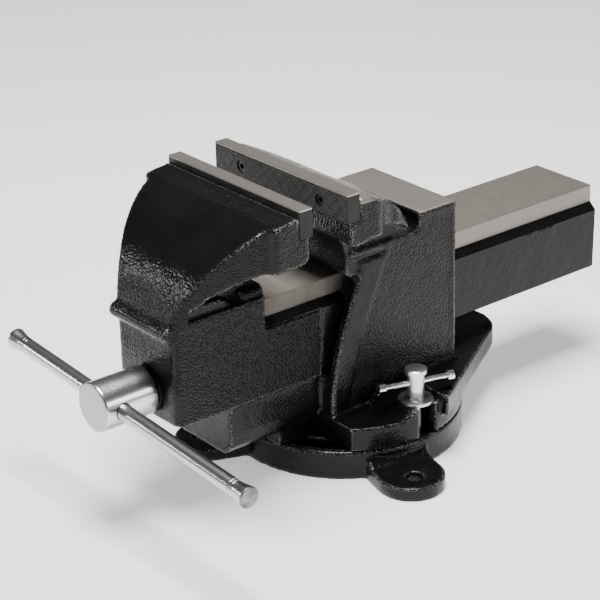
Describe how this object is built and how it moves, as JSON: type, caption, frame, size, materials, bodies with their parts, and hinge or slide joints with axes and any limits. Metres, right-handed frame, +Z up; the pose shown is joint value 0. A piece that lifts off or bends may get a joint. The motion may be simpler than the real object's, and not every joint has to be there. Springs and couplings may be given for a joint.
{
  "type": "bench vise",
  "caption": "Bench vise with a sliding box-beam jaw, knurled steel jaw plates, an anvil and a swivel base locked by T-handle nuts.",
  "frame": {"origin": "on the swivel axis at the underside of the base, where it stands on the bench", "axes": "+Z up, +X across the jaws, -Y towards the spindle handle, +Y along the beam towards its tail"},
  "size_m": [0.2773, 0.457, 0.223],
  "materials": {
    "black_casting": "semi-gloss black paint over rough cast iron, machined tops left bare",
    "jaw_steel": "hardened steel, ground top and knurled face",
    "black_screws": "black oxide",
    "nut_iron": "bare cast iron, oiled",
    "bolt_steel": "zinc plated",
    "washer_steel": "bright zinc",
    "lock_steel": "satin plated",
    "bar_chrome": "polished plating",
    "spindle_steel": "polished head with a satin end face",
    "spring_steel": "oiled spring steel"
  },
  "bodies": {
    "base": {"swivel_base": "black_casting"},
    "body": {"fixed_jaw_body": "black_casting", "fixed_jaw_plate": "jaw_steel", "fixed_jaw_screws": "black_screws", "spindle_nut": "nut_iron", "spindle_nut_screws": "black_screws", "lock_bolts": "bolt_steel", "lock_washers": "washer_steel"},
    "lock_right": {"lock_nut_right": "lock_steel"},
    "lock_left": {"lock_nut_left": "lock_steel"},
    "handle_right": {"lock_bar_right": "bar_chrome", "lock_bar_collars_right": "bar_chrome"},
    "handle_left": {"lock_bar_left": "bar_chrome", "lock_bar_collars_left": "bar_chrome"},
    "sliding_jaw": {"front_jaw": "black_casting", "front_jaw_plate": "jaw_steel", "front_jaw_screws": "black_screws", "thrust_washer": "black_screws", "retaining_spring": "spring_steel"},
    "screw": {"spindle": "spindle_steel", "retaining_washer": "bolt_steel", "retaining_pin": "bolt_steel"},
    "tommy": {"tommy_bar": "bar_chrome", "tommy_bar_ends": "bar_chrome"}
  },
  "joints": [
    {"name": "swivel", "type": "hinge", "parent": "base", "child": "body", "pos_m": [0, 0, 0], "axis": [0, 0, 1], "continuous": true},
    {"name": "jaw_slide", "type": "slide", "parent": "body", "child": "sliding_jaw", "axis": [0, -1, 0], "range_m": [-0.0304, 0.1196]},
    {"name": "spindle_turn", "type": "hinge", "parent": "sliding_jaw", "child": "screw", "pos_m": [0, -0.2, 0.09], "axis": [0, -1, 0], "range_deg": [-1815, 7160]},
    {"name": "tommy_slide", "type": "slide", "parent": "screw", "child": "tommy", "axis": [0.9982, 0, -0.0593], "range_m": [-0.124, 0.086]},
    {"name": "lock_turn_right", "type": "hinge", "parent": "body", "child": "lock_right", "pos_m": [0.074, 0.0055, 0.06], "axis": [0, 0, 1], "range_deg": [-18, 48]},
    {"name": "lock_turn_left", "type": "hinge", "parent": "body", "child": "lock_left", "pos_m": [-0.074, 0.0055, 0.06], "axis": [0, 0, -1], "range_deg": [-18, 48]},
    {"name": "lock_bar_slide_right", "type": "slide", "parent": "lock_right", "child": "handle_right", "axis": [0.2924, 0.9563, 0], "range_m": [-0.008, 0.008]},
    {"name": "lock_bar_slide_left", "type": "slide", "parent": "lock_left", "child": "handle_left", "axis": [-0.2924, 0.9563, 0], "range_m": [-0.008, 0.008]}
  ],
  "couplings": [
    {"joint": "jaw_slide", "follows": "spindle_turn", "m_per_rad": 0.00095493}
  ]
}
